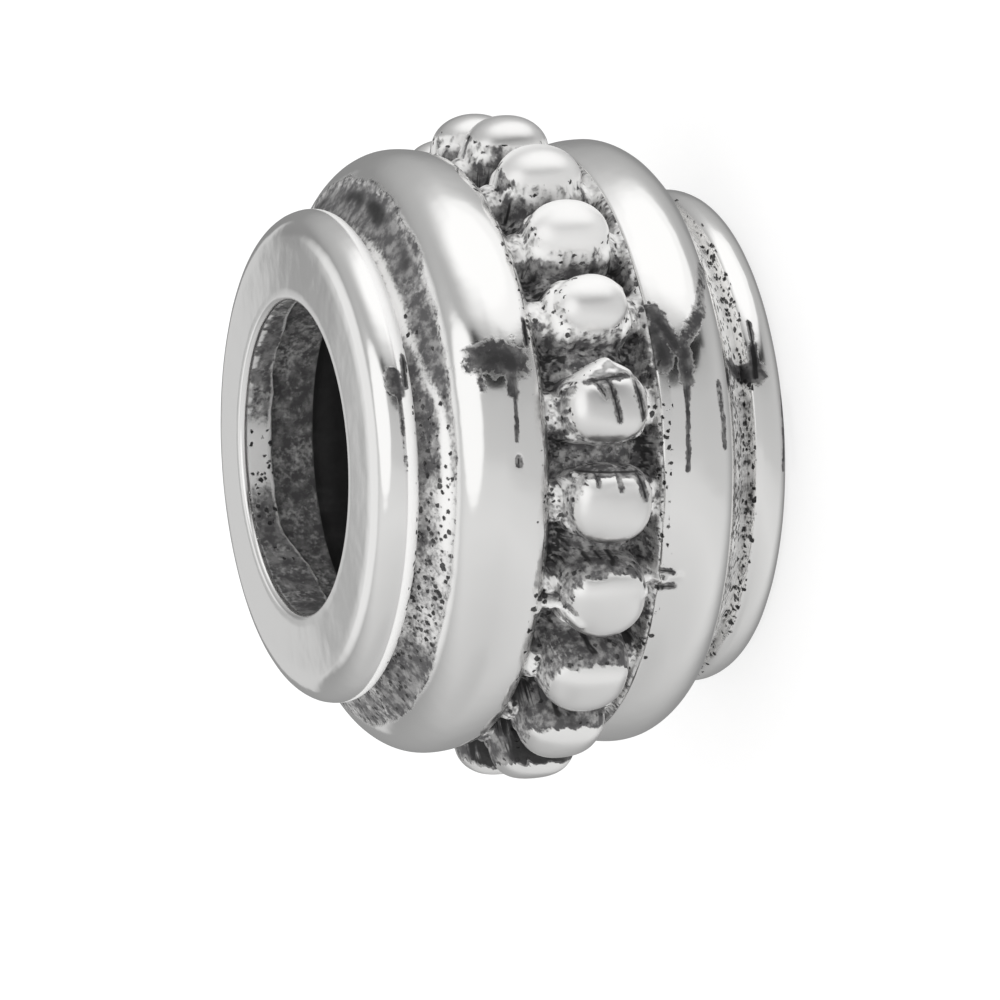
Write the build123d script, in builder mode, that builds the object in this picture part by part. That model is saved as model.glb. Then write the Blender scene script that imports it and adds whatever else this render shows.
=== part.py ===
"""Large-hole european charm bead, one oxidised silver casting.

The bead is a short barrel turned about its bore, which stands along +Z. From each end face inwards it has
an end ring, a narrow groove, a round-backed ring and then half of the middle channel. A row of grains runs
round the channel, each on a low saddle that joins the two rings, with a deep pit between neighbours.
The bore has a smooth land at each end, a ledge behind each land and a wider recess in the middle.

The origin is where the bore's axis meets the lower end face, and the bead stands on that face.
"""

import os

from build123d import *

# Sizes in millimetres. Lengths are measured along the bore.
bore_diameter = 4.8
bore_bevel = 0.08
land_length = 0.46
ledge_diameter = 5.2
ledge_length = 0.75
recess_diameter = 5.7

end_ring_diameter = 7.52
end_ring_length = 0.72
end_ring_rounding = 0.46
end_ring_inner_rounding = 0.18

groove_diameter = 6.8
groove_length = 0.35

ring_diameter = 9.2
ring_length = 1.36
ring_rounding = 0.8

channel_diameter = 8.2
channel_length = 1.88

grain_count = 20
grains_diameter = 10.24
grain_length = 1.3
grain_width = 1.14
grain_corner = 0.5
grain_crown = 0.46

saddle_diameter = 8.9
saddle_width = 0.86
saddle_rounding = 0.1

# Radii and heights that follow from them. Heights are measured from the middle of the bead.
bore_radius = bore_diameter / 2
end_ring_radius = end_ring_diameter / 2
groove_radius = groove_diameter / 2
ring_radius = ring_diameter / 2
channel_radius = channel_diameter / 2

ring_start = channel_length / 2
groove_start = ring_start + ring_length
end_ring_start = groove_start + groove_length
half_length = end_ring_start + end_ring_length
land_start = half_length - land_length
ledge_start = land_start - ledge_length

# Across the section, local X is the radius and local Y the height above the middle.
section_plane = Plane(origin=(0, 0, half_length), x_dir=(1, 0, 0), z_dir=(0, -1, 0))
from_bore = (Align.MIN, Align.MIN)


def band(start, end, outer_radius, mode=Mode.ADD):
    """Fills the section from the bore out to a radius, between two heights."""
    with Locations((bore_radius, start)):
        Rectangle(outer_radius - bore_radius, end - start, align=from_bore, mode=mode)


with BuildSketch() as end_ring_section:
    band(end_ring_start, half_length, end_ring_radius)
    face_corner = end_ring_section.vertices().group_by(Axis.Y)[-1].sort_by(Axis.X)[-1]
    fillet(face_corner, radius=min(end_ring_rounding, 0.7 * end_ring_length))
    groove_corner = end_ring_section.vertices().group_by(Axis.Y)[0].sort_by(Axis.X)[-1]
    fillet(groove_corner, radius=min(end_ring_inner_rounding, 0.25 * end_ring_length))
    bore_corner = end_ring_section.vertices().group_by(Axis.Y)[-1].sort_by(Axis.X)[0]
    chamfer(bore_corner, length=bore_bevel)

with BuildSketch() as groove_section:
    cove_radius = groove_length / 2
    cove_centre = (groove_radius + cove_radius, groove_start + cove_radius)
    band(groove_start, end_ring_start, end_ring_radius)
    with Locations(cove_centre):
        Circle(cove_radius, mode=Mode.SUBTRACT)
        Rectangle(end_ring_radius, groove_length, align=(Align.MIN, Align.CENTER), mode=Mode.SUBTRACT)

with BuildSketch() as ring_section:
    band(ring_start, groove_start, ring_radius - ring_rounding)
    with Locations((ring_radius - ring_rounding, groove_start - ring_rounding)):
        Circle(ring_rounding)
    band(0, ring_start, ring_radius, mode=Mode.SUBTRACT)

with BuildSketch(section_plane) as section:
    band(0, ring_start, channel_radius)
    add(ring_section.sketch)
    add(groove_section.sketch)
    add(end_ring_section.sketch)
    band(0, land_start, ledge_diameter / 2, mode=Mode.SUBTRACT)
    band(0, ledge_start, recess_diameter / 2, mode=Mode.SUBTRACT)
    mirror(about=Plane.XZ)

# Grains and saddles stand on a flat inside the channel's wall, halfway between its floor and the recess.
seat_radius = (channel_radius + recess_diameter / 2) / 2
seat_plane = Plane(origin=(seat_radius, 0, half_length), x_dir=(0, 1, 0), z_dir=(1, 0, 0))

with BuildPart() as grain:
    with BuildSketch(seat_plane):
        RectangleRounded(grain_width, grain_length, grain_corner)
    extrude(amount=grains_diameter / 2 - seat_radius)
    fillet(grain.faces().sort_by(Axis.X)[-1].edges(), radius=grain_crown)

with BuildPart() as saddle:
    with BuildSketch(seat_plane):
        Rectangle(saddle_width, channel_length + ring_length)
    extrude(amount=saddle_diameter / 2 - seat_radius)
    long_edges = saddle.faces().sort_by(Axis.X)[-1].edges().filter_by(Axis.Z)
    fillet(long_edges, radius=saddle_rounding)

with BuildPart() as charm_bead:
    add(section.sketch)
    revolve(axis=Axis.Z)
    with PolarLocations(0, grain_count):
        add(saddle.part)
        add(grain.part)

charm_bead.part.label = "charm_bead"

os.makedirs("parts", exist_ok=True)
export_step(charm_bead.part, "parts/charm_bead.step")
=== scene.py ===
"""Looks for the large-hole silver charm bead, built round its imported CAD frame."""

import math

import bpy
import numpy as np
from mathutils import Matrix, Vector


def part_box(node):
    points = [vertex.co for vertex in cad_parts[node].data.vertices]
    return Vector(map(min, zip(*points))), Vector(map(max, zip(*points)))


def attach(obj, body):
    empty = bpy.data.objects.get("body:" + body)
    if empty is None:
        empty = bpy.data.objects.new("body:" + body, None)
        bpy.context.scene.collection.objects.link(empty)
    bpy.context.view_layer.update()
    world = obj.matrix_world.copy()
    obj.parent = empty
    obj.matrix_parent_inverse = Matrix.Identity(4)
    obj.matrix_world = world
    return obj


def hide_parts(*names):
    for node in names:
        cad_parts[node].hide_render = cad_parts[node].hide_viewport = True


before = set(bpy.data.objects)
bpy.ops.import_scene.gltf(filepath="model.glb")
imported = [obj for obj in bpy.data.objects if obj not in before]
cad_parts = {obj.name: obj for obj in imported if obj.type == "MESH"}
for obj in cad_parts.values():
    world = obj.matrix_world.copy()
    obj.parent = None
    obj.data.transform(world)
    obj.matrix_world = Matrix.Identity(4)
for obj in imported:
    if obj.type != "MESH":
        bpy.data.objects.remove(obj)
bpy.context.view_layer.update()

bl_info = {
    "name": "Oxidised Silver Charm Bead",
    "version": (1, 0, 0),
    "blender": (4, 5, 0),
    "location": "3D View > Sidebar > Bead",
    "description": "Builds a ringed silver charm bead with a row of grains, its finish and its studio",
    "category": "Add Mesh",
}

NODE = "charm_bead"
MM = 0.001
BEAD_LOW, BEAD_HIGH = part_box(NODE)
BEAD_LENGTH = BEAD_HIGH.z - BEAD_LOW.z
GRAINS_DIAMETER = BEAD_HIGH.y - BEAD_LOW.y


# Properties


def length_property(name, description, default_mm):
    return bpy.props.FloatProperty(
        name=name, description=description, default=default_mm * MM, min=0.0, precision=5,
        unit="LENGTH", subtype="DISTANCE",
    )


def factor_property(name, description, default, high=1.0):
    return bpy.props.FloatProperty(
        name=name, description=description, default=default, min=0.0, max=high, subtype="FACTOR"
    )


def colour_property(name, description, default):
    return bpy.props.FloatVectorProperty(
        name=name, description=description, default=default, min=0.0, max=1.0, size=3, subtype="COLOR"
    )


class BeadSizes(bpy.types.PropertyGroup):
    """Sizes of the turned body, along the bore and across it"""

    bore_diameter: length_property("Bore", "Width of the hole at the lands", 4.8)
    bore_bevel: length_property("Bore Bevel", "Bevel at the rim of the hole", 0.08)
    ledge_diameter: length_property("Ledge", "Width of the bore behind the lands", 5.2)
    ledge_length: length_property("Ledge Length", "Length of each ledge", 0.75)
    recess_diameter: length_property("Recess", "Width of the bore in the middle", 5.7)
    land_length: length_property("Land", "Mean length of each land", 0.48)
    land_step: length_property("Land Step", "How much deeper the land reaches on one side", 0.3)
    end_ring_diameter: length_property("End Ring", "Diameter of the end rings", 7.52)
    end_ring_rounding: length_property("End Ring Rounding", "Rounding at the end face", 0.46)
    end_ring_inner_rounding: length_property("Inner Rounding", "Rounding at the groove", 0.2)
    groove_diameter: length_property("Groove", "Diameter at the bottom of the grooves", 6.84)
    groove_length: length_property("Groove Length", "Width of each groove", 0.35)
    ring_diameter: length_property("Ring", "Diameter of the two rings", 9.2)
    ring_length: length_property("Ring Length", "Length of each ring", 1.36)
    ring_rounding: length_property("Ring Rounding", "Radius of the rings' backs", 0.8)
    channel_length: length_property("Channel Length", "Width of the channel between the rings", 1.88)


class GrainSizes(bpy.types.PropertyGroup):
    """Sizes of the grains and of the channel that they stand in"""

    count: bpy.props.IntProperty(name="Grains", description="Grains round the bead", default=20, min=3)
    diameter: bpy.props.FloatProperty(
        name="Grains Diameter", description="Diameter over the grains", default=GRAINS_DIAMETER,
        min=0.0, precision=5, unit="LENGTH", subtype="DISTANCE",
    )
    length: length_property("Grain Length", "Length of an even grain along the bore", 1.34)
    width: length_property("Grain Width", "Width of an even grain round the bead", 1.24)
    channel_diameter: length_property("Channel", "Diameter of the channel's floor", 8.16)
    saddle_diameter: length_property("Saddle", "Diameter over the saddles", 8.94)
    saddle_width: length_property("Saddle Width", "Width of a saddle round the bead", 0.78)
    pad_diameter: length_property("Pad", "Diameter over the rough pads under the grains", 9.5)
    unevenness: factor_property("Unevenness", "How much the cast grains differ", 1.0, 3.0)


class SilverFinish(bpy.types.PropertyGroup):
    """Colours and gloss of the oxidised silver"""

    silver: colour_property("Silver", "Polished silver", (0.93, 0.925, 0.915))
    tarnish: colour_property("Tarnish", "Blackest silver in the hollows", (0.1, 0.098, 0.1))
    grey: colour_property("Grey", "Palest of the tarnish", (0.46, 0.455, 0.45))
    polish_roughness: factor_property("Polish", "Roughness of the polished silver", 0.12)
    satin_roughness: factor_property("Satin", "Roughness where no wheel has reached", 0.42)
    tarnish_roughness: factor_property("Tarnish Roughness", "Roughness of the blackened silver", 0.45)
    tarnish_start: factor_property("Tarnish Start", "Depth at which the blackening starts", 0.4)
    pit_density: factor_property("Pit Density", "How thickly the small casting pits lie", 0.8)


class StudioSettings(bpy.types.PropertyGroup):
    """Floor, light and camera"""

    floor_colour: colour_property("Floor", "Colour of the floor", (0.45, 0.45, 0.45))
    room_light: factor_property("Room Light", "Brightness of the even light on the floor", 1.06, 5.0)
    azimuth: bpy.props.FloatProperty(
        name="Azimuth", description="Camera's direction round the bead",
        default=math.radians(-5.48), subtype="ANGLE",
    )
    elevation: bpy.props.FloatProperty(
        name="Elevation", description="Camera's height above the horizon",
        default=math.radians(20.1), subtype="ANGLE",
    )
    roll: bpy.props.FloatProperty(
        name="Roll", description="Turn of the camera about its line of sight",
        default=math.radians(93.45), subtype="ANGLE",
    )
    distance: length_property("Distance", "Distance from the camera to the bead", 300.0)
    pixels_per_mm: bpy.props.FloatProperty(
        name="Scale", description="Picture elements per millimetre at the bead", default=65.6, min=1.0
    )
    bead_at: bpy.props.FloatVectorProperty(
        name="Bead At", description="Where the bead's middle lies in a picture 1000 wide",
        default=(501.0, 445.6), size=2,
    )


# Surfaces


def ease(x):
    """Cubic ease: 0 below 0, 1 above 1, level at both."""
    x = np.clip(x, 0, 1)
    return x * x * (3 - 2 * x)


def rising(x, start, span):
    """0 up to the start, eased to 1 over the span beyond it."""
    return ease((x - start) / span)


def falling(x, end, span):
    """1 until a span before the end, eased to 0 at the end."""
    return ease((end - x) / span)


def bell(x, centre, width):
    """1 at the centre, falling off to both sides as a Gaussian of the width."""
    return np.exp(-((x - centre) / width) ** 2)


def bearing(angle, degrees, spread):
    """A bell round the bead: 1 at the given direction, falling off with the spread, both in degrees."""
    return bell((np.degrees(angle) - degrees + 180) % 360 - 180, 0, spread)


def lattice_noise(u, v, columns, rows, seed):
    """Random values from -1 to 1 on a lattice, eased between its points, and the same at u = 0 and 1."""
    table = np.random.default_rng(seed).uniform(-1, 1, (columns, rows + 2))
    x, y = (u % 1.0) * columns, np.clip(v, 0, 1) * rows
    i, j = np.floor(x).astype(int), np.floor(y).astype(int)
    f, g = ease(x - i), ease(y - j)
    i, k = i % columns, (i + 1) % columns
    low = table[i, j] * (1 - f) + table[k, j] * f
    high = table[i, j + 1] * (1 - f) + table[k, j + 1] * f
    return low * (1 - g) + high * g


def rough_noise(u, v, columns, rows, seed, octaves=4):
    """Lattice noises added up, each twice as fine and a little over half as strong as the one before."""
    total, strength = 0, 1.0
    for octave in range(octaves):
        total = total + strength * lattice_noise(u, v, columns << octave, rows << octave, seed + octave)
        strength *= 0.55
    return total


def rounder_of(a, b, blend):
    """The larger of two heights, with the crease between them filled over about the blend."""
    return 0.5 * (a + b + np.sqrt((a - b) ** 2 + blend ** 2))


def arc(centre, radius, start, end, steps):
    """Points along a circle's arc, from one angle to another in degrees, as height and radius."""
    angle = np.radians(np.linspace(start, end, steps))
    return np.stack([centre[0] + radius * np.cos(angle), centre[1] + radius * np.sin(angle)], 1)


def line(start, end, steps):
    """Points along a straight line, without its two ends."""
    t = np.linspace(0, 1, steps + 2)[1:-1, None]
    return np.array(start) * (1 - t) + np.array(end) * t


def closed_mesh(name, points):
    """A mesh closed both ways from a grid of points: four-sided faces join each point to the next along
    both parameters, and the last row and column join the first. Its faces are turned to point outwards."""
    rows, columns = points.shape[:2]
    i, j = np.meshgrid(np.arange(rows), np.arange(columns), indexing="ij")
    a, b = i * columns + j, ((i + 1) % rows) * columns + j
    c, d = ((i + 1) % rows) * columns + (j + 1) % columns, i * columns + (j + 1) % columns
    flat = points.reshape(-1, 3)
    faces = np.stack([a, b, c, d], -1).reshape(-1, 4)
    across = np.cross(flat[faces[:, 2]] - flat[faces[:, 0]], flat[faces[:, 3]] - flat[faces[:, 1]])
    if (flat[faces].mean(1) * across).sum() < 0:
        faces = faces[:, ::-1]
    mesh = bpy.data.meshes.new(name)
    mesh.vertices.add(len(flat))
    mesh.vertices.foreach_set("co", flat.astype(np.float32).ravel())
    mesh.loops.add(faces.size)
    mesh.loops.foreach_set("vertex_index", faces.astype(np.int32).ravel())
    mesh.polygons.add(len(faces))
    mesh.polygons.foreach_set("loop_start", np.arange(0, faces.size, 4, dtype=np.int32))
    mesh.polygons.foreach_set("use_smooth", np.ones(len(faces), bool))
    mesh.update(calc_edges=True)
    mesh.validate()
    return mesh


def add_value(mesh, name, values):
    """Stores one number a vertex under a name that the materials read."""
    attribute = mesh.attributes.new(name, "FLOAT", "POINT")
    attribute.data.foreach_set("value", values.astype(np.float32).ravel())


def add_piece(name, points, recess, pitted, satin, patchy):
    """Makes a piece from a grid of points in the bead's frame, and stands it in for the CAD node."""
    mesh = closed_mesh(name, points)
    add_value(mesh, "recess", recess)
    add_value(mesh, "pitted", pitted)
    add_value(mesh, "satin", satin)
    add_value(mesh, "patchy", patchy)
    piece = bpy.data.objects.new(name, mesh)
    bpy.context.scene.collection.objects.link(piece)
    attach(piece, "root")
    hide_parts(NODE)
    return piece


def turned(angle, radius, height):
    """Points at an angle and a radius round the bore, and at a height above the floor."""
    return np.stack([radius * np.cos(angle), radius * np.sin(angle), height], -1)


# Marks that the picture shows. Each row is a straight line on the unrolled surface: bearing in degrees and
# height over the bead's middle in millimetres at both ends, half its width, and how far it stands out.
SCRATCHES = [
    (-98.3, 1.41, -99.4, 1.41, 0.06, -0.02),
    (-87.5, -3.27, -105.6, -3.22, 0.03, -0.003),
    (-122.2, -0.96, -122.4, -1.14, 0.05, -0.004),
    (-125.8, -0.96, -125.4, -1.18, 0.06, -0.004),
]
# Dark patches on the rings: mostly a painted reflection of the room's dark band on the polished silver,
# partly tarnish. The last value is how dark they are.
TARNISH_AND_DARK_REFLECTIONS = [
    (-78.6, 1.80, -79.8, 1.36, 0.27, 0.9),
    (-82.5, 1.88, -84.8, 1.86, 0.05, 0.6),
    (-82.6, 1.42, -86.0, 1.42, 0.09, 0.85),
    (-71.5, 1.03, -76.5, 1.07, 0.05, 1.0),
    (-85.0, 1.38, -95.0, 1.43, 0.034, 0.9),
    (-70.5, -1.00, -79.0, -1.30, 0.12, 0.9),
    (-79.0, -1.35, -72.0, -1.78, 0.12, 0.62),
    (-72.0, -1.78, -60.0, -2.10, 0.1, 0.5),
    (-75.5, -1.00, -81.5, -1.08, 0.16, 0.9),
    (-79.5, -1.40, -85.0, -1.38, 0.11, 0.88),
    (-84.0, -1.38, -89.0, -1.36, 0.05, 0.85),
    (-86.5, -1.36, -102.5, -1.30, 0.036, 0.9),
    (-86.0, -1.93, -98.5, -1.96, 0.06, 0.62),
    (-77.0, 2.97, -81.6, 2.93, 0.12, 0.8),
    (-73.0, 2.76, -80.8, 2.79, 0.05, 1.0),
    (-82.0, 2.93, -92.0, 2.91, 0.032, 0.85),
    (-92.0, 2.91, -100.5, 2.90, 0.022, 0.7),
    (-81.0, -2.45, -82.5, -2.80, 0.2, 0.9),
    (-69.5, -2.86, -77.0, -2.84, 0.03, 1.0),
    (-76.0, -2.84, -83.5, -2.82, 0.07, 1.0),
]
# Dents in the grains.
DENTS = [
    (-85.6, 0.36, -84.6, -0.40, 0.06, -0.022),
    (-85.6, 0.05, -92.4, -0.07, 0.06, -0.022),
    (-85.6, 0.25, -88.4, 0.13, 0.05, -0.02),
    (-86.0, -0.40, -92.0, -0.50, 0.07, -0.022),
    (-101.3, 0.46, -101.7, -0.42, 0.045, -0.025),
    (-101.7, 0.29, -103.6, 0.29, 0.04, -0.018),
    (-101.7, -0.03, -104.4, -0.04, 0.045, -0.02),
    (-102.4, -0.37, -106.2, -0.46, 0.07, -0.02),
    (-127.2, 0.92, -126.0, 0.66, 0.05, -0.02),
    (-126.0, 0.66, -127.4, 0.50, 0.04, -0.01),
]
# Burrs beside the grains.
BURRS = [
    (-83.6, 0.34, -81.6, 0.02, 0.1, 0.09),
    (-81.6, 0.02, -83.8, -0.34, 0.09, 0.08),
    (-129.4, 0.95, -128.0, 0.78, 0.06, 0.09),
    (-128.0, 0.78, -127.6, 0.66, 0.07, 0.12),
    (-127.6, 0.66, -129.4, 0.44, 0.07, 0.10),
    (-124.2, -0.62, -124.0, -0.98, 0.06, 0.09),
    (-124.0, -0.98, -123.2, -1.26, 0.05, 0.03),
]
# Radii at which the marks and the grains are unrolled.
MARK_RADIUS = 4.8 * MM
GRAIN_RADIUS = 4.9 * MM

# Bearings in degrees: what the picture has at its top and in front, where the lands start and stop reaching
# deeper, where they are shortest, and where a patch of light that falls in through the opening is painted
# on them.
PICTURE_TOP = -17
PICTURE_FRONT = -107
LAND_DEEPENS = 108
LAND_RISES = 300
LAND_SHORTEST = -10
LAND_LIT_PATCH = 82

# How steep a ring's back is towards the channel, as a share of a circle's, and how far the end face falls
# from the bore's rim outwards.
BACK_STEEPNESS = 0.5
FACE_FALL = 0.035 * MM


def marks(angle, height, lines, flatness=1):
    """Adds up the marks as a change of radius, each with a section like a bell, and the darkness in them:
    tarnish in scratches and dents, and in the dark patches on the rings mostly a painted reflection of the
    room's dark band with some tarnish. A noise frays them."""
    rise, dark = 0 * height, 0 * height
    fray = rough_noise(angle / (2 * math.pi), height / (8 * MM) + 0.5, 260, 72, 17, 2)
    for start, low, end, high, width, size in lines:
        x = MARK_RADIUS * np.radians((np.degrees(angle) - start + 180) % 360 - 180)
        y = height - low * MM
        dx, dy = MARK_RADIUS * math.radians(end - start), (high - low) * MM
        along = np.clip((x * dx + y * dy) / (dx * dx + dy * dy), 0, 1)
        away = ((x - along * dx) ** 2 + (y - along * dy) ** 2) / (width * MM) ** 2
        section = np.exp(-np.maximum(away * (1 + 0.45 * fray), 0) ** flatness)
        rise = rise + size * MM * section
        dark = np.maximum(dark, abs(size) * section if flatness > 1 else section)
    return rise, dark


def ring_back(height, s):
    """Radius of a ring's back on its side towards the channel, at a height above the bead's middle: an arc
    of an ellipse, less steep than the round back beyond the crest."""
    crest = s.channel_length / 2 + s.ring_length - s.ring_rounding
    low = s.ring_diameter / 2 - s.ring_rounding
    return low + np.sqrt(s.ring_rounding ** 2 - BACK_STEEPNESS * (crest - height) ** 2)


def end_profile(s):
    """Half of the bead's section, from the middle to one end face: height above the middle, radius, how
    deep in a hollow the surface lies from 0 to 1, and how far each point follows the land's edge."""
    half = BEAD_LENGTH / 2
    bore, ledge, recess = s.bore_diameter / 2, s.ledge_diameter / 2, s.recess_diameter / 2
    end, groove, ring = s.end_ring_diameter / 2, s.groove_diameter / 2, s.ring_diameter / 2
    ring_start = s.channel_length / 2
    groove_start = ring_start + s.ring_length
    end_start = groove_start + s.groove_length
    ring_centre = (groove_start - s.ring_rounding, ring - s.ring_rounding)
    lean_in = math.radians(20)
    flank = (ring_centre[0] + s.ring_rounding * math.cos(lean_in),
             ring_centre[1] + s.ring_rounding * math.sin(lean_in))
    cove, slope = 0.185 * MM, math.radians(56)
    slope_end = (end_start - 0.09 * MM, groove + 0.2 * MM)
    cove_centre = (slope_end[0] + cove * math.sin(slope), slope_end[1] + cove * math.cos(slope))
    across = np.linspace(0.05 * MM, ring_centre[0] - ring_start, 18, endpoint=False)
    inner_back = np.stack([ring_start + across, ring_back(ring_start + across, s)], 1)
    edge = inner_back[0]
    core = groove + 0.2 * MM
    inner, outer, bevel = s.end_ring_inner_rounding, s.end_ring_rounding, s.bore_bevel
    face = half - FACE_FALL
    land, step = s.land_length, 0.06 * MM
    ledge_end = half - land - s.ledge_length
    runs = [
        ([(0, core)], 1, 0),
        (line((0, core), (ring_start, core), 1), 1, 0),
        ([(ring_start, core)], 1, 0),
        (line((ring_start, core), (ring_start, edge[1] - 0.06 * MM), 3), 1, 0),
        ([(ring_start, edge[1] - 0.06 * MM), (ring_start + 0.008 * MM, edge[1] - 0.03 * MM),
          (ring_start + 0.024 * MM, edge[1] - 0.011 * MM)], (0.34, 0.12, 0), 0),
        (inner_back, 0, 0),
        (arc(ring_centre, s.ring_rounding, 90, math.degrees(lean_in), 30), 0, 0),
        (line(flank, slope_end, 9), (0.42, 0.35, 0.35, 0.35), 0),
        (arc(cove_centre, cove, 214, 250, 6), (0.3, 0.4), 0),
        (arc((end_start + inner, end - inner), inner, 180, 90, 8), 0, 0),
        (line((end_start + inner, end), (face - outer, end), 1), 0, 0),
        (arc((face - outer, end - outer), outer, 90, 7, 14), 0, 0),
        (line((face, end - outer), (half, bore + bevel), 6), 0, 0),
        (arc((half - bevel, bore + bevel), bevel, 0, -90, 5), 0.05, 0),
        (line((half - bevel, bore), (half - land, bore), 7), (0.42, 0.48), (0.1, 1)),
        ([(half - land, bore), (half - land - step / 4, bore + step / 6),
          (half - land - step / 2, bore + step / 2)], 0.2, 1),
        (line((half - land - step / 2, bore + step / 2), (half - land - step, ledge), 1), 0.56, 1),
        ([(half - land - step, ledge)], 0.54, 1),
        (line((half - land - step, ledge), (ledge_end, ledge), 3), 0.54, (1, 0)),
        ([(ledge_end, ledge)], 0.58, 0),
        ([(ledge_end - step / 2, ledge), (ledge_end - step, recess)], 1, 0),
        (line((ledge_end - step, recess), (0, recess), 3), 1, 0),
        ([(0, recess)], 1, 0),
    ]
    profile, hollow, follow = [], [], []
    for points, depth, share in runs:
        points = np.array(points, float).reshape(-1, 2)
        t = np.linspace(0, 1, len(points))
        profile.append(points)
        for values, run in ((hollow, depth), (follow, share)):
            run = np.atleast_1d(np.array(run, float))
            values.append(np.interp(t, np.linspace(0, 1, len(run)), run))
    profile = np.vstack(profile)
    return profile[:, 0], profile[:, 1], np.concatenate(hollow), np.concatenate(follow)


def upper_flank(t, r, broad):
    """Tarnish on the upper ring's flank: its depth in the groove's side and up to the line where the polish
    starts, how strongly strips are worn clean, how thickly spots lie and how matt the flank is."""
    top, front = bearing(t, PICTURE_TOP, 46), bearing(t, PICTURE_FRONT, 30)
    under = bearing(t, PICTURE_FRONT - 60, 34)
    reach = (4.16 + 0.12 * top + 0.05 * broad) * MM
    stain = 0.43 + 0.2 * top + 0.26 * bearing(t, PICTURE_FRONT + 29, 13) + 0.14 * under + 0.06 * broad
    stain = stain + 0.36 * top * bell(r, 3.94 * MM, 0.18 * MM)
    line_out = 0.55 * bell(r, reach - 0.1 * MM, 0.07 * MM) * (1 - 0.2 * front)
    flank = np.maximum(line_out, stain * falling(r, reach - 0.06 * MM, 0.1 * MM))
    strip_middle = (3.6 + 0.35 * falling((np.degrees(t) + 180) % 360 - 180, PICTURE_TOP - 47, 28)) * MM
    strip = bell(r, strip_middle, 0.1 * MM) * bearing(t, PICTURE_FRONT + 9, 21)
    upper_strip = bell(r, strip_middle, 0.08 * MM) * bearing(t, PICTURE_TOP - 36, 26)
    spots = 0.5 * under + 0.4 * front + 0.7 * bearing(t, PICTURE_FRONT - 22, 16)
    return stain, flank, np.maximum(strip, 0.85 * upper_strip), spots, falling(r, reach, 0.1 * MM)


def lower_flank(t, r, broad):
    """The same for the lower ring, whose flank is paler and spotted all along its front."""
    flank = 0.45 * falling(r, (3.95 + 0.06 * broad) * MM, 0.2 * MM)
    clean = 0.1 + 0.5 * bearing(t, PICTURE_FRONT + 45, 26)
    return 0, flank, clean, 1.6 * bearing(t, PICTURE_FRONT + 5, 60), 0.9


def land_edge(s, t, u, seed):
    """How much further than its mean the land reaches: more on one side, less on the other, and ragged."""
    turn = np.degrees(t) % 360
    deeper = rising(turn, LAND_DEEPENS, 24) * falling(turn, LAND_RISES, 100)
    ragged = 0.035 * MM * rough_noise(u, 0 * u, 24, 1, seed, 4)
    return s.land_step * (deeper - 0.6 * bearing(t, LAND_SHORTEST, 36)) + ragged


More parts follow.
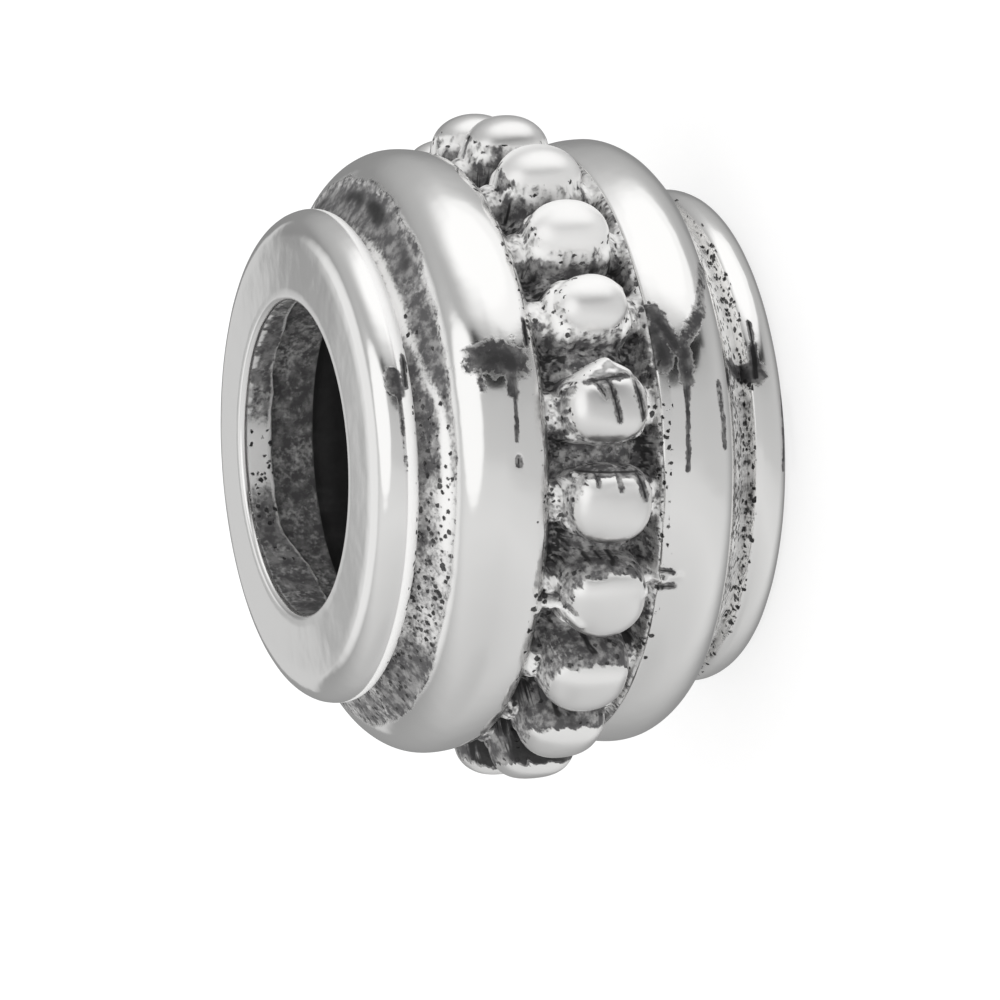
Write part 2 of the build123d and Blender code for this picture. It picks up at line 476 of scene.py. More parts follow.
def ringed_half(s, upper, seed):
    """One half of the turned body: the section of an end, turned about the bore. The land reaches deeper
    on one side, its edge is ragged, and the rings are out of true by a few thousandths of a millimetre.
    The tarnish reaches up the rings' flanks from the grooves."""
    height, radius, hollow, follow = end_profile(s)
    columns = 780
    angle = np.linspace(0, 2 * math.pi, columns, endpoint=False)
    t, i = np.meshgrid(angle, np.arange(len(height)), indexing="ij")
    run = np.cumsum(np.hypot(np.diff(height, prepend=height[0]), np.diff(radius, prepend=radius[0])))
    u, v = t / (2 * math.pi), (run / run[-1])[i]
    z, r, recess, loose = height[i], radius[i], hollow[i], follow[i]
    half, bore = BEAD_LENGTH / 2, s.bore_diameter / 2
    ring_start, ring_end = s.channel_length / 2, s.channel_length / 2 + s.ring_length
    wall, lip_end = 0.9 * MM, 2.86 * MM
    outside = r > bore + wall
    inside = ~outside & ~((z > half - FACE_FALL) & (r > bore + 1.01 * s.bore_bevel))
    bevel = inside & (z > half - 1.1 * s.bore_bevel)
    back = outside & (z > ring_end - s.ring_rounding)
    groove_side = back & (recess > 0)
    groove = z < ring_end + 0.3 * MM
    broad = rough_noise(u, v, 36, 14, seed + 60, 4)

    edge = outside * (recess < 0.3) * falling(z, ring_start + (0.15 + 0.05 * broad) * MM, 0.05 * MM)
    stain, flank, clean, spots, matt = (upper_flank if upper else lower_flank)(t, r, broad)
    edge_spots = 0.2 if upper else 0.8 * bearing(t, PICTURE_FRONT, 24)
    matt_side = back & (z < ring_end + 0.6 * MM) if upper else groove_side
    satin = np.maximum(0.4 * edge, np.where(matt_side, matt, 0))
    recess = np.where(groove_side, np.maximum(recess, stain), recess)
    stained = np.maximum(recess, flank * groove * (recess == 0)) * (1 - 0.92 * clean)
    recess = np.where(back, stained, recess)
    lip = outside * ~groove * (z < lip_end) * falling(r, (3.73 + 0.01 * broad) * MM, 0.06 * MM)
    recess = np.maximum(recess, 0.3 * lip * (1 - clean))
    pitted = spots * (groove_side | (lip > 0.02)) + edge_spots * edge

    on_land = inside & ~bevel & (recess < 0.5)
    # Painted light: a bright patch on the land where light falls in through the bore's opening; the tarnish
    # is taken off there.
    lit_patch = bearing(t, LAND_LIT_PATCH, 12) * on_land
    worn_edge = bearing(t, LAND_LIT_PATCH + 20, 14) * on_land
    blackened = (bearing(t, LAND_LIT_PATCH - 38, 24) + bearing(t, LAND_LIT_PATCH + 52, 36)) * on_land
    notches = ease(0.4 + 1.6 * rough_noise(u, 0 * v, 240, 1, seed + 80, 1)) * on_land
    notches = notches * bearing(t, LAND_LIT_PATCH - 45, 32) * rising(z, half - 0.22 * MM, 0.08 * MM)
    recess = (recess + 0.2 * blackened) * (1 - notches)
    recess = recess + 0.1 * broad * rising(recess, 0, 0.3) * (1 - lit_patch) - 0.5 * lit_patch
    pitted = np.where(inside, 0.5 * lit_patch + 0.45 * worn_edge, pitted)

    height_of_mark = z if upper else -z
    scratch, dark = marks(t, height_of_mark, SCRATCHES)
    # Dark patches on the outside of the rings: mostly painted reflection of the room's dark band, partly
    # tarnish.
    tarnish_and_reflection = marks(t, height_of_mark, TARNISH_AND_DARK_REFLECTIONS, 2)[1] * outside
    burr, proud = marks(t, height_of_mark, BURRS)
    recess = np.maximum(recess * (1 - proud), np.maximum(dark * outside, tarnish_and_reflection))
    out_of_true = 0.004 * rough_noise(u, v, 14, 6, seed + 20, 3)
    out_of_true = out_of_true + 0.0018 * rough_noise(u, v, 60, 24, seed + 30, 2)
    cast_skin = 0.006 * rough_noise(u, v, 150, 58, seed + 40, 2)
    r = r + (scratch + burr) * outside + out_of_true * MM * outside * falling(recess, 1, 0.1)
    r = r - cast_skin * MM * back * rising(recess, 0.3, 0.3)
    z = z - loose * land_edge(s, t, u, seed)
    satin = np.where(bevel, 0.3, np.where(inside, 1.0, satin))
    # The pale worn patches are held back inside those painted dark reflections.
    patchy = np.where(inside, 0.45, np.where(groove_side, 0.6, 1.0)) * (1 - 0.5 * rising(tarnish_and_reflection, 0, 0.4))
    points = turned(t, r, half + (z if upper else -z))
    return points, np.clip(recess, 0, 1), np.clip(pitted, 0, 1), satin, patchy


# Shapes of single grains, from the picture: shift round the bead in degrees, share of the even length and
# width, exponents of the outline's lower and upper half and of the section, the radius in millimetres at
# which the dome starts, and how far the upper edge rises to a point.
EVEN_GRAIN = (0.4, 1.0, 1.0, 2.4, 2.7, 2.8, 4.35, 0.0)
GRAIN_SHAPES = {
    0: (0.4, 1.0, 0.96, 2.1, 2.2, 2.2, 4.5, 0.0),
    11: (-0.6, 1.02, 1.05, 2.2, 3.0, 2.7, 4.35, 0.0),
    12: (-1.2, 1.03, 1.06, 2.15, 3.0, 2.7, 4.35, 0.0),
    13: (-0.6, 1.02, 1.06, 2.15, 3.0, 2.8, 4.35, 0.1),
    14: (0.2, 1.02, 1.03, 2.3, 3.0, 2.9, 4.35, 0.05),
    15: (0.5, 1.0, 1.02, 2.4, 2.6, 2.9, 4.35, 0.45),
    16: (1.8, 0.87, 0.86, 2.1, 2.1, 2.1, 4.58, 0.0),
    17: (1.2, 0.98, 0.92, 2.1, 2.1, 2.1, 4.56, 0.0),
    18: (0.6, 1.0, 0.94, 2.1, 2.1, 2.1, 4.58, 0.0),
    19: (0.4, 1.0, 0.96, 2.1, 2.2, 2.2, 4.5, 0.0),
}


def crowded(steps, reach, place, width):
    """Steps from minus to plus the reach, up to three times as close near plus and minus the place."""
    x = np.linspace(-reach, reach, 801)
    total = np.cumsum(1 + 2 * bell(np.abs(x), place, width))
    return np.interp(np.linspace(0, 1, steps), (total - total[0]) / (total[-1] - total[0]), x)


def squircle(x, y, corner):
    """0 in the middle, 1 on a rounded square of the given exponent."""
    return (np.abs(x) ** corner + np.abs(y) ** corner) ** (1 / corner)


def crowned(outline, low, high, crown):
    """A dome over the outline: high in the middle, low at its edge, and nothing outside it."""
    rise = np.maximum(1 - np.clip(outline, 0, 1) ** crown, 0) ** (1 / crown)
    return np.where(outline < 1, low + (high - low) * rise, 0)


def grain_band(g, rings):
    """The channel between the rings. Its radius is the largest of these surfaces, with the creases between
    them filled: uneven ground with a pocket at each end of every gap, a saddle that crosses the channel at
    every grain, a rough square pad, and the grain's polished dome. The wheel has left tarnish on what lies
    low or steep. The steep sides count as steep sooner on the side of each grain that faces the picture's
    top, and on the lower half of the band the sides in the gaps are darker still: this is painted shade in
    the gaps under the grains, on top of the tarnish."""
    each, rows, pitch = 60, 76, 2 * math.pi / g.count
    edge, half = rings.channel_length / 2, 1.06 * MM
    spots = crowded(each + 1, pitch / 2, 0.38 * pitch, 0.08 * pitch)[:-1]
    angle = (np.arange(g.count)[:, None] * pitch + spots).ravel()
    t, h = np.meshgrid(angle, crowded(rows, half, 0.62 * MM, 0.12 * MM), indexing="ij")
    u, v = t / (2 * math.pi), (h + half) / (2 * half)
    coarse = rough_noise(u, v, 110, 8, 11, 3)
    fine = rough_noise(u, v, 400, 24, 13, 2)
    floor, rim = g.channel_diameter / 2, 4.48 * MM
    pocket = bell(np.abs(h), 0.66 * MM, 0.19 * MM)
    valley = floor + 0.2 * MM - 0.22 * MM * pocket
    lip = rising(np.abs(h), 0.74 * MM, 0.22 * MM)
    r = valley + (rim - valley) * lip + (0.035 * coarse + 0.01 * fine) * MM * (1 - 0.8 * lip)

    rng = np.random.default_rng(5)
    bridged = np.zeros_like(r)
    for k in range(g.count):
        turn, long, wide, corner_low, corner_high, crown, seat, peak = GRAIN_SHAPES.get(k, EVEN_GRAIN)
        uneven = rng.uniform(-1, 1, 6) * g.unevenness * (0.4 if k in GRAIN_SHAPES else 1.0)
        middle = k * pitch + math.radians(turn + 0.5 * uneven[0])
        x = GRAIN_RADIUS * ((t - middle + math.pi) % (2 * math.pi) - math.pi)
        y = h - (0.02 * uneven[1] - 0.02) * MM
        twist = math.radians(4) * uneven[2]
        x, y = x * math.cos(twist) + y * math.sin(twist), y * math.cos(twist) - x * math.sin(twist)
        top = g.diameter / 2 - (0.012 + 0.012 * abs(uneven[3])) * MM
        long = long * g.length / 2 * (1 + 0.02 * uneven[4])
        wide = wide * g.width / 2 * (1 + 0.02 * uneven[5])
        ragged = 0.05 * coarse + 0.02 * fine
        saddle = crowned(np.abs(x) / (g.saddle_width / 2) + ragged, floor, g.saddle_diameter / 2, 2.5)
        saddle = np.where(saddle > 0, saddle - 0.13 * MM * lip + 0.03 * MM * coarse * (1 - lip), 0)
        pad_outline = squircle(x / (0.6 * MM), y / (0.69 * MM), 4) + 0.6 * ragged
        pad = crowned(pad_outline, floor, g.pad_diameter / 2 + 0.015 * MM * coarse, 4)
        corner = np.where(x > 0, corner_high, corner_low)
        wide = wide * (1 + peak * (0.5 - np.abs(y) / long) * rising(x, 0, 0.3 * MM))
        dome = crowned(squircle(x / wide, y / long, corner), seat * MM, top, crown)
        bridged = np.maximum(bridged, ease((0.34 * MM - np.abs(x)) / (0.16 * MM) + 0.5))
        for surface, blend in ((saddle, 0.06), (pad, 0.03), (dome, 0.025)):
            r = np.where(surface > 0, rounder_of(r, surface, blend * MM), r)
    burr, proud = marks(t, h, BURRS)
    dent, dark = marks(t, h, DENTS)
    r = r + dent + burr

    step = (np.roll(t, -1, 0) - np.roll(t, 1, 0)) % (2 * math.pi)
    slope_round = (np.roll(r, -1, 0) - np.roll(r, 1, 0)) / (step * r)
    slope_along = np.gradient(r, axis=1) / np.gradient(h, axis=1)
    slope = np.hypot(slope_round, slope_along)
    tilt = np.degrees(np.arctan(slope))
    downward = slope_round / (slope + 1e-6)
    upward = np.clip(-downward, 0, 1)
    degrees = (np.degrees(t) - 60) % 360 - 300
    lower_half = falling(degrees, PICTURE_FRONT + 22, 24)
    # Painted shade with the tarnish: steep sides facing PICTURE_TOP, under the grain above, darken sooner,
    # and on the lower half of the band the gaps are darker still.
    steep = ease((tilt - 58 - 10 * downward - 5 * coarse - 7 * fine + 6 * upward * lower_half) / 9)
    deepest = (4.66 + 0.1 * (1 - lower_half)) * MM
    low = falling(r, deepest, 0.4 * MM) * (1 - 0.7 * bridged) * (1 - 0.4 * lip)
    walls = steep * (0.42 + (0.34 * np.clip(downward, 0, 1) + 0.38 * upward) * lower_half)
    speckle = falling(r, 4.62 * MM, 0.1 * MM) * bridged + falling(r, 4.8 * MM, 0.06 * MM) * (1 - bridged)
    speckle = np.clip(speckle, 0, 1)
    walls = np.maximum(walls, 0.28 * speckle)
    mottle = np.maximum(speckle, steep * (1 - lower_half))
    recess = np.maximum(low * (0.74 + 0.16 * pocket), walls) + (0.08 + 0.1 * mottle) * coarse
    recess = recess + 0.22 * mottle * rough_noise(u, v, 620, 40, 15, 2)
    recess = recess + 0.3 * bearing(t, PICTURE_FRONT - 74, 20) * falling(r, 5.04 * MM, 0.1 * MM)
    recess = np.where(low + walls > 0.02, recess, 0)
    recess = np.clip(np.maximum(recess, dark) * (1 - proud), 0, 1)
    rough_skin = np.maximum(falling(r, 4.84 * MM, 0.1 * MM), 0.8 * steep)
    pitted = rough_skin * (1 - 0.9 * low) * (0.2 + 0.3 * bearing(t, PICTURE_FRONT + 25, 42))
    pitted = np.maximum(pitted, 0.6 * lip * bearing(t, PICTURE_FRONT, 26))
    satin = np.maximum(0.55 + 0.27 * bearing(t, PICTURE_FRONT + 55, 34), rough_skin * (1 - 0.6 * lip))
    satin = satin + 0.2 * np.clip(-3 * slope_round, 0, 1)
    r = r + 0.003 * MM * rough_noise(u, v, 60, 4, 71, 3)
    r = np.minimum(r, g.diameter / 2 - 0.004 * MM)
    under_ring = ring_back(np.maximum(np.abs(h), edge), rings) - 0.012 * MM
    under_ring = under_ring + 2 * np.maximum(edge - 0.03 * MM - np.abs(h), 0)
    r = np.minimum(r, under_ring + burr)

    core = 3.75 * MM
    closing = np.stack([h[:, -1], 0 * h[:, 0], h[:, 0]], 1)
    h = np.concatenate([h, closing], 1)
    r = np.concatenate([r, np.full_like(closing, core)], 1)
    t = np.concatenate([t, np.repeat(t[:, :1], 3, 1)], 1)
    recess = np.concatenate([recess, np.ones_like(closing)], 1)
    pitted = np.concatenate([np.clip(pitted, 0, 1), 0 * closing], 1)
    satin = np.concatenate([np.clip(satin, 0, 1), 1 + 0 * closing], 1)
    return turned(t, r, BEAD_LENGTH / 2 + h), recess, pitted, satin, np.ones_like(r)


# Materials


def add_node(tree, kind, inputs=None, **settings):
    """Adds a node, sets its own settings, and sets or links its inputs."""
    node = tree.nodes.new(kind)
    for name, value in settings.items():
        setattr(node, name, value)
    for key, value in (inputs or {}).items():
        if isinstance(value, bpy.types.NodeSocket):
            tree.links.new(value, node.inputs[key])
        else:
            node.inputs[key].default_value = value
    return node


def maths(tree, operation, *values):
    return add_node(tree, "ShaderNodeMath", dict(enumerate(values)), operation=operation).outputs[0]


def remap(tree, value, low, high, to_low=0.0, to_high=1.0, smooth=True):
    inputs = {"Value": value, "From Min": low, "From Max": high, "To Min": to_low, "To Max": to_high}
    kind = "SMOOTHSTEP" if smooth else "LINEAR"
    return add_node(tree, "ShaderNodeMapRange", inputs, interpolation_type=kind).outputs["Result"]


def blend_colours(tree, factor, a, b):
    return add_node(tree, "ShaderNodeMix", {0: factor, 6: a, 7: b}, data_type="RGBA").outputs[2]


def noise(tree, place, scale, detail, roughness=0.5):
    inputs = {"Vector": place, "Scale": scale, "Detail": detail, "Roughness": roughness}
    return add_node(tree, "ShaderNodeTexNoise", inputs).outputs


def effect_group(name, inputs, outputs):
    """An empty shader node group with named inputs and outputs, and its two end nodes."""
    group = bpy.data.node_groups.new(name, "ShaderNodeTree")
    for label, kind, default in inputs:
        socket = group.interface.new_socket(label, in_out="INPUT", socket_type=kind)
        if kind == "NodeSocketFloat":
            socket.default_value = default
    for label, kind in outputs:
        group.interface.new_socket(label, in_out="OUTPUT", socket_type=kind)
    return group, group.nodes.new("NodeGroupInput").outputs, group.nodes.new("NodeGroupOutput").inputs


def cast_group():
    """As-cast skin: a mask of the blackening, mottled at two scales where the surface is tarnished at all
    and smoother where the surface is satin, and the skin's grainy height."""
    group, i, o = effect_group(
        "Cast Skin",
        [("Vector", "NodeSocketVector", None), ("Recess", "NodeSocketFloat", 0.0),
         ("Satin", "NodeSocketFloat", 0.0), ("Start", "NodeSocketFloat", 0.4),
         ("Grain", "NodeSocketFloat", 6500.0)],
        [("Black", "NodeSocketFloat"), ("Height", "NodeSocketFloat")],
    )
    broad = noise(group, i["Vector"], i["Grain"], 2.0)[0]
    fine = noise(group, i["Vector"], maths(group, "MULTIPLY", i["Grain"], 2.6), 2.0)[0]
    grain = maths(group, "ADD", maths(group, "MULTIPLY", maths(group, "SUBTRACT", broad, 0.5), 0.9),
                  maths(group, "MULTIPLY", maths(group, "SUBTRACT", fine, 0.5), 1.1))
    touched = remap(group, i["Recess"], 0.03, 0.25)
    touched = maths(group, "MULTIPLY", touched, remap(group, i["Satin"], 0.7, 1.0, 1.0, 0.5))
    mottle = maths(group, "MULTIPLY", grain, touched)
    over = maths(group, "SUBTRACT", maths(group, "ADD", i["Recess"], mottle), i["Start"])
    group.links.new(remap(group, over, -0.12, 0.2), o["Black"])
    group.links.new(maths(group, "SUBTRACT", 0.0, mottle), o["Height"])
    return group


def pits_group():
    """Small casting pits: cells of a Voronoi pattern, of which a given share holds one dark dot of its own
    size. A fine noise bends the pattern, so that no dot is quite round."""
    group, i, o = effect_group(
        "Casting Pits",
        [("Vector", "NodeSocketVector", None), ("Share", "NodeSocketFloat", 0.5),
         ("Scale", "NodeSocketFloat", 9500.0)],
        [("Mask", "NodeSocketFloat")],
    )
    bend = noise(group, i["Vector"], 16000.0, 1.0)["Color"]
    offset = add_node(group, "ShaderNodeVectorMath", {0: bend, 1: (0.5, 0.5, 0.5)},
                      operation="SUBTRACT").outputs[0]
    place = add_node(group, "ShaderNodeVectorMath",
                     {0: offset, 1: (0.06 * MM, 0.06 * MM, 0.06 * MM), 2: i["Vector"]},
                     operation="MULTIPLY_ADD").outputs[0]
    cells = add_node(group, "ShaderNodeTexVoronoi",
                     {"Vector": place, "Scale": i["Scale"], "Randomness": 1.0})
    split = add_node(group, "ShaderNodeSeparateColor", {0: cells.outputs["Color"]})
    chosen = maths(group, "LESS_THAN", split.outputs[0], i["Share"])
    size = maths(group, "MULTIPLY_ADD", split.outputs[1], 0.28, 0.22)
    dot = remap(group, maths(group, "SUBTRACT", size, cells.outputs["Distance"]), -0.09, 0.09)
    group.links.new(maths(group, "MULTIPLY", dot, chosen), o["Mask"])
    return group


def ripple_group():
    """Faint ripples and fine marks of hand polishing, as a height."""
    group, i, o = effect_group(
        "Hand Polish",
        [("Vector", "NodeSocketVector", None), ("Ripple", "NodeSocketFloat", 1.0),
         ("Marks", "NodeSocketFloat", 0.2)],
        [("Height", "NodeSocketFloat")],
    )
    broad = noise(group, i["Vector"], 1500.0, 2.0)[0]
    fine = noise(group, i["Vector"], 14000.0, 3.0, 0.6)[0]
    height = maths(group, "ADD", maths(group, "MULTIPLY", broad, i["Ripple"]),
                   maths(group, "MULTIPLY", fine, i["Marks"]))
    group.links.new(height, o["Height"])
    return group


def shared_group(name, builder):
    """A node group that is built once and then found by its name."""
    return bpy.data.node_groups.get(name) or builder()


def oxidised_silver(f):
    """Polished silver, satin in the bore, mottled and black in the hollows that each vertex's depth gives,
    and worn paler in patches. The per-vertex depth also carries painted shade between the grains, painted
    dark reflections on the rings and a painted patch of light in the bore."""
    found = bpy.data.materials.get("oxidised_silver")
    if found:
        return found
    material = bpy.data.materials.new("oxidised_silver")
    material.use_nodes = True
    tree = material.node_tree
    shader = tree.nodes["Principled BSDF"]
    place = add_node(tree, "ShaderNodeTexCoord").outputs["Object"]

    def vertex_value(name):
        return add_node(tree, "ShaderNodeAttribute", attribute_name=name).outputs["Fac"]

    def effect(name, builder, inputs):
        return add_node(tree, "ShaderNodeGroup", {"Vector": place, **inputs},
                        node_tree=shared_group(name, builder)).outputs

    recess, satin = vertex_value("recess"), vertex_value("satin")
    skin = effect("Cast Skin", cast_group, {"Recess": recess, "Satin": satin, "Start": f.tarnish_start,
                                            "Grain": 6500.0})
    share = maths(tree, "MULTIPLY", vertex_value("pitted"), f.pit_density)
    pits = effect("Casting Pits", pits_group, {"Share": share, "Scale": 10500.0})["Mask"]
    polish = effect("Hand Polish", ripple_group, {"Ripple": 1.0, "Marks": 0.05})["Height"]
    dark = maths(tree, "MAXIMUM", skin["Black"], pits)

    grime = noise(tree, place, 5200.0, 4.0, 0.6)[0]
    worn = maths(tree, "MULTIPLY", remap(tree, grime, 0.4, 0.68), vertex_value("patchy"))
    worn = maths(tree, "MULTIPLY", worn, remap(tree, recess, 0.75, 1.0, 1.0, 0.2))
    tarnish = blend_colours(tree, worn, (*f.tarnish, 1), (*f.grey, 1))
    deep = maths(tree, "MULTIPLY", remap(tree, recess, 0.82, 1.0), 0.8)
    deep = maths(tree, "MAXIMUM", deep, maths(tree, "MULTIPLY", pits, 0.7))
    tarnish = blend_colours(tree, deep, tarnish, (0.01, 0.01, 0.01, 1))
    film = remap(tree, recess, 0.12, 0.6, 0.0, 0.8)
    filmed = blend_colours(tree, film, (*f.silver, 1), (*f.grey, 1))
    tree.links.new(blend_colours(tree, dark, filmed, tarnish), shader.inputs["Base Color"])
    shine = add_node(tree, "ShaderNodeMix", {0: satin, 2: f.polish_roughness, 3: f.satin_roughness},
                     data_type="FLOAT").outputs[0]
    shine = maths(tree, "MAXIMUM", shine, remap(tree, recess, 0.05, 0.3, 0.0, 0.3))
    rough = add_node(tree, "ShaderNodeMix", {0: dark, 2: shine, 3: f.tarnish_roughness}, data_type="FLOAT")
    tree.links.new(rough.outputs[0], shader.inputs["Roughness"])
    metal = maths(tree, "MULTIPLY", remap(tree, dark, 0, 1, 1.0, 0.8, smooth=False),
                  remap(tree, satin, 0.6, 1.0, 1.0, 0.08))
    tree.links.new(metal, shader.inputs["Metallic"])
    shader.inputs["Specular IOR Level"].default_value = 0.25

    height = maths(tree, "ADD", maths(tree, "MULTIPLY", skin["Height"], 0.08),
                   maths(tree, "SUBTRACT", maths(tree, "MULTIPLY", polish, 0.15),
                         maths(tree, "MULTIPLY", pits, 0.4)))
    bump = add_node(tree, "ShaderNodeBump", {"Height": height, "Strength": 1.0, "Distance": 0.045 * MM})
    tree.links.new(bump.outputs["Normal"], shader.inputs["Normal"])
    return material


# Stage


# Width in pixels of the picture in which the bead's place and scale are given.
PICTURE_WIDTH = 1000


def camera_axes(s):
    """The camera's right, up and back, after its roll about the line of sight."""
    a, e, r = s.azimuth, s.elevation, s.roll
    back = Vector((math.sin(a) * math.cos(e), -math.cos(a) * math.cos(e), math.sin(e)))
    right = Vector((math.cos(a), math.sin(a), 0))
    up = back.cross(right)
    return right * math.cos(r) - up * math.sin(r), right * math.sin(r) + up * math.cos(r), back


def add_camera(s):
    right, up, back = camera_axes(s)
    data = bpy.data.cameras.new("camera")
    data.sensor_width = 36.0
    data.lens = s.pixels_per_mm * (s.distance / MM) * data.sensor_width / PICTURE_WIDTH
    data.clip_start, data.clip_end = 0.01, 10.0
    camera = bpy.data.objects.new("camera", data)
    camera.matrix_world = Matrix((right, up, back)).transposed().to_4x4()
    aside = (s.bead_at[0] - PICTURE_WIDTH / 2) / s.pixels_per_mm
    above = (PICTURE_WIDTH / 2 - s.bead_at[1]) / s.pixels_per_mm
    middle = Vector((0, 0, BEAD_LENGTH / 2))
    camera.location = middle + back * s.distance - (right * aside + up * above) * MM
    bpy.context.scene.collection.objects.link(camera)
    bpy.context.scene.camera = camera


def add_floor(s):
    """A wide flat disc under the bead: a fan in the middle, and rings of four-sided faces round it."""
    angle = np.linspace(0, 2 * math.pi, 96, endpoint=False)
    radii = np.array([0.02, 0.1, 0.5, 3.0])
    t, r = np.meshgrid(angle, radii, indexing="xy")
    points = np.vstack([[[0, 0, 0]], turned(t, r, 0 * r).reshape(-1, 3)])
    n = len(angle)
    i = np.arange(n)
    j = (i + 1) % n
    fan = np.stack([0 * i, 1 + i, 1 + j], 1)
    start = 1 + n * np.arange(len(radii) - 1)[:, None]
    bands = np.stack([start + i, start + n + i, start + n + j, start + j], -1).reshape(-1, 4)
    mesh = bpy.data.meshes.new("studio_floor")
    mesh.from_pydata(points.tolist(), [], fan.tolist() + bands.tolist())
    floor = bpy.data.objects.new("studio_floor", mesh)
    bpy.context.scene.collection.objects.link(floor)
    material = bpy.data.materials.new("floor")
    material.use_nodes = True
    shader = material.node_tree.nodes["Principled BSDF"]
    shader.inputs["Base Color"].default_value = (*s.floor_colour, 1)
    shader.inputs["Roughness"].default_value = 0.9
    shader.inputs["Specular IOR Level"].default_value = 0.0
    shader.inputs["Emission Color"].default_value = (1, 1, 1, 1)
    shader.inputs["Emission Strength"].default_value = 0.66
    mesh.materials.append(material)
    floor.visible_glossy = False


def add_studio_light(s):
    """The room that the polished silver mirrors: a large softbox on the side that is the picture's top, a
    white card and a lit corner on its left, a window on its right, a pale wall behind, a dark gap towards
    the camera and a pale table below. Everything else is lit evenly."""
    world = bpy.data.worlds.new("studio")
    bpy.context.scene.world = world
    world.use_nodes = True
    tree = world.node_tree
    tree.nodes.clear()
    picture_right = Vector((0, 0, -1))
    front = Vector((-0.293, -0.956, 0)).normalized()
    above = Vector((0.956, -0.293, 0)).normalized()
    direction = add_node(tree, "ShaderNodeTexCoord").outputs["Generated"]

    def towards(axis):
        node = add_node(tree, "ShaderNodeVectorMath", {0: direction, 1: tuple(axis)},
                        operation="DOT_PRODUCT")
        return node.outputs["Value"]

    def ramp(value, stops):
        node = add_node(tree, "ShaderNodeValToRGB", {0: maths(tree, "MULTIPLY_ADD", value, 0.5, 0.5)})
        elements = node.color_ramp.elements
        while len(elements) > 1:
            elements.remove(elements[0])
        for k, (at, shade) in enumerate(stops):
            element = elements[0] if k == 0 else elements.new((at + 1) / 2)
            element.position = (at + 1) / 2
            element.color = (shade, shade, shade, 1)
        return node.outputs["Color"]

    x, y, z = towards(picture_right), towards(front), towards(above)
    height = maths(tree, "ADD", z, maths(tree, "MULTIPLY", maths(tree, "MAXIMUM", x, 0.0), 0.28))
    near = ramp(height, [(-1.0, 0.5), (-0.97, 0.52), (-0.9, 0.57), (-0.3, 0.69), (0.0, 0.64), (0.12, 0.55),
                         (0.5, 0.5), (0.7, 0.42), (0.78, 0.46), (0.86, 0.66), (0.91, 0.86), (0.96, 1.0)])
    far = ramp(height, [(-1.0, 0.42), (-0.8, 0.36), (-0.3, 0.28), (0.0, 0.24), (0.3, 0.27), (0.5, 0.38),
                        (0.7, 0.45), (0.8, 0.52), (0.86, 0.62), (0.91, 0.8), (0.96, 1.0)])
    room = blend_colours(tree, remap(tree, y, -0.75, 0.1), far, near)
    band = maths(tree, "SUBTRACT", z, maths(tree, "MULTIPLY_ADD", maths(tree, "MINIMUM", y, 0.45), 0.52,
                                            0.39))
    gap = maths(tree, "MULTIPLY", remap(tree, band, -0.115, -0.085),
                remap(tree, band, 0.06, 0.17, 1.0, 0.0))
    gap = maths(tree, "MULTIPLY", gap, remap(tree, y, -0.4, 0.45, 0.0, 0.95))
    gap = maths(tree, "MULTIPLY", gap, remap(tree, x, -0.72, -0.5))
    gap = maths(tree, "MULTIPLY", gap, remap(tree, x, 0.74, 0.9, 1.0, 0.0))
    room = maths(tree, "MULTIPLY", room, maths(tree, "SUBTRACT", 1.0, gap))
    card = towards((-picture_right * 0.912 + front * 0.332 + above * 0.242).normalized())
    room = maths(tree, "MAXIMUM", room, remap(tree, card, 0.83, 0.92, 0.0, 0.95))
    corner = towards((-picture_right * 0.80 - front * 0.58 - above * 0.10).normalized())
    room = maths(tree, "MAXIMUM", room, remap(tree, corner, 0.78, 0.95, 0.0, 0.78))
    window = remap(tree, maths(tree, "MULTIPLY_ADD", x, 0.43, z), 0.87, 0.97, 0.0, 0.92)
    window = maths(tree, "MULTIPLY", window, remap(tree, x, 0.1, 0.3))
    room = maths(tree, "MAXIMUM", room, window)
    wall = maths(tree, "MULTIPLY", remap(tree, y, -0.86, -0.78, 1.0, 0.0),
                 remap(tree, x, -0.14, -0.04, 1.0, 0.0))
    slanting = maths(tree, "MULTIPLY_ADD", maths(tree, "ADD", x, 0.344), -1.6, z)
    wall = maths(tree, "MULTIPLY", wall, remap(tree, slanting, -0.235, -0.14, 0.58, 0.24))
    room = maths(tree, "MAXIMUM", room, wall)
    mirrored = maths(tree, "MULTIPLY", room, 1.08)
    rays = add_node(tree, "ShaderNodeLightPath")
    plain = maths(tree, "MAXIMUM", rays.outputs["Is Diffuse Ray"], rays.outputs["Is Camera Ray"])
    strength = add_node(tree, "ShaderNodeMix", {0: plain, 2: mirrored, 3: s.room_light},
                        data_type="FLOAT").outputs[0]
    shade = add_node(tree, "ShaderNodeBackground", {"Color": (1, 1, 1, 1), "Strength": strength})
    add_node(tree, "ShaderNodeOutputWorld", {"Surface": shade.outputs[0]})
    bpy.context.scene.view_settings.view_transform = "Standard"


# Operators


def dress(piece):
    piece.data.materials.append(oxidised_silver(bpy.context.scene.silver_finish))


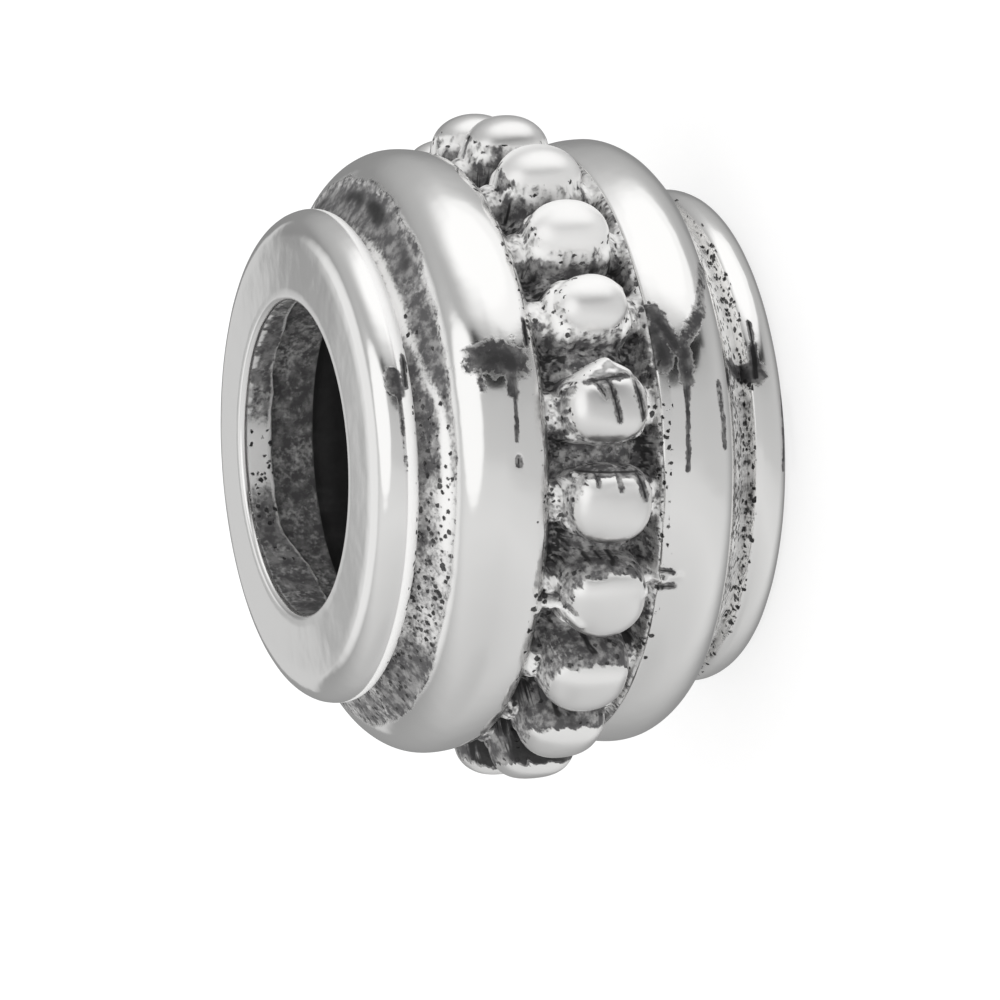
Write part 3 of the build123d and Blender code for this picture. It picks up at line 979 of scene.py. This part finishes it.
class BEAD_OT_ringed_body(bpy.types.Operator):
    """Build both halves of the turned body: end rings, grooves, rings and bore"""

    bl_idname = "bead.ringed_body"
    bl_label = "Add Ringed Body"

    def execute(self, context):
        sizes = context.scene.bead_sizes
        for name, upper, seed in (("upper_rings", True, 101), ("lower_rings", False, 303)):
            dress(add_piece(name, *ringed_half(sizes, upper, seed)))
        return {"FINISHED"}


class BEAD_OT_grain_band(bpy.types.Operator):
    """Build the channel with its grains, saddles and pits"""

    bl_idname = "bead.grain_band"
    bl_label = "Add Grain Band"

    def execute(self, context):
        dress(add_piece("grain_band", *grain_band(context.scene.grain_sizes, context.scene.bead_sizes)))
        return {"FINISHED"}


class BEAD_OT_studio(bpy.types.Operator):
    """Set up the floor, the light and the camera"""

    bl_idname = "bead.studio"
    bl_label = "Add Studio"

    def execute(self, context):
        settings = context.scene.bead_studio
        add_camera(settings)
        add_floor(settings)
        add_studio_light(settings)
        return {"FINISHED"}


class BEAD_PT_sidebar(bpy.types.Panel):
    """The bead's sizes, finish and studio"""

    bl_idname = "BEAD_PT_sidebar"
    bl_label = "Charm Bead"
    bl_space_type = "VIEW_3D"
    bl_region_type = "UI"
    bl_category = "Bead"

    def draw(self, context):
        parts = (
            ("bead_sizes", "bead.ringed_body"),
            ("grain_sizes", "bead.grain_band"),
            ("silver_finish", None),
            ("bead_studio", "bead.studio"),
        )
        for group, operator in parts:
            box = self.layout.box()
            settings = getattr(context.scene, group)
            for name in settings.bl_rna.properties.keys():
                if name not in {"rna_type", "name"}:
                    box.prop(settings, name)
            if operator:
                box.operator(operator)


GROUPS = {
    "bead_sizes": BeadSizes,
    "grain_sizes": GrainSizes,
    "silver_finish": SilverFinish,
    "bead_studio": StudioSettings,
}
CLASSES = (*GROUPS.values(), BEAD_OT_ringed_body, BEAD_OT_grain_band, BEAD_OT_studio, BEAD_PT_sidebar)


def register():
    for cls in CLASSES:
        bpy.utils.register_class(cls)
    for name, group in GROUPS.items():
        setattr(bpy.types.Scene, name, bpy.props.PointerProperty(type=group))


def unregister():
    for name in GROUPS:
        delattr(bpy.types.Scene, name)
    for cls in reversed(CLASSES):
        bpy.utils.unregister_class(cls)


def main():
    register()
    bpy.ops.bead.studio()
    bpy.ops.bead.ringed_body()
    bpy.ops.bead.grain_band()


if __name__ == "__main__":
    main()
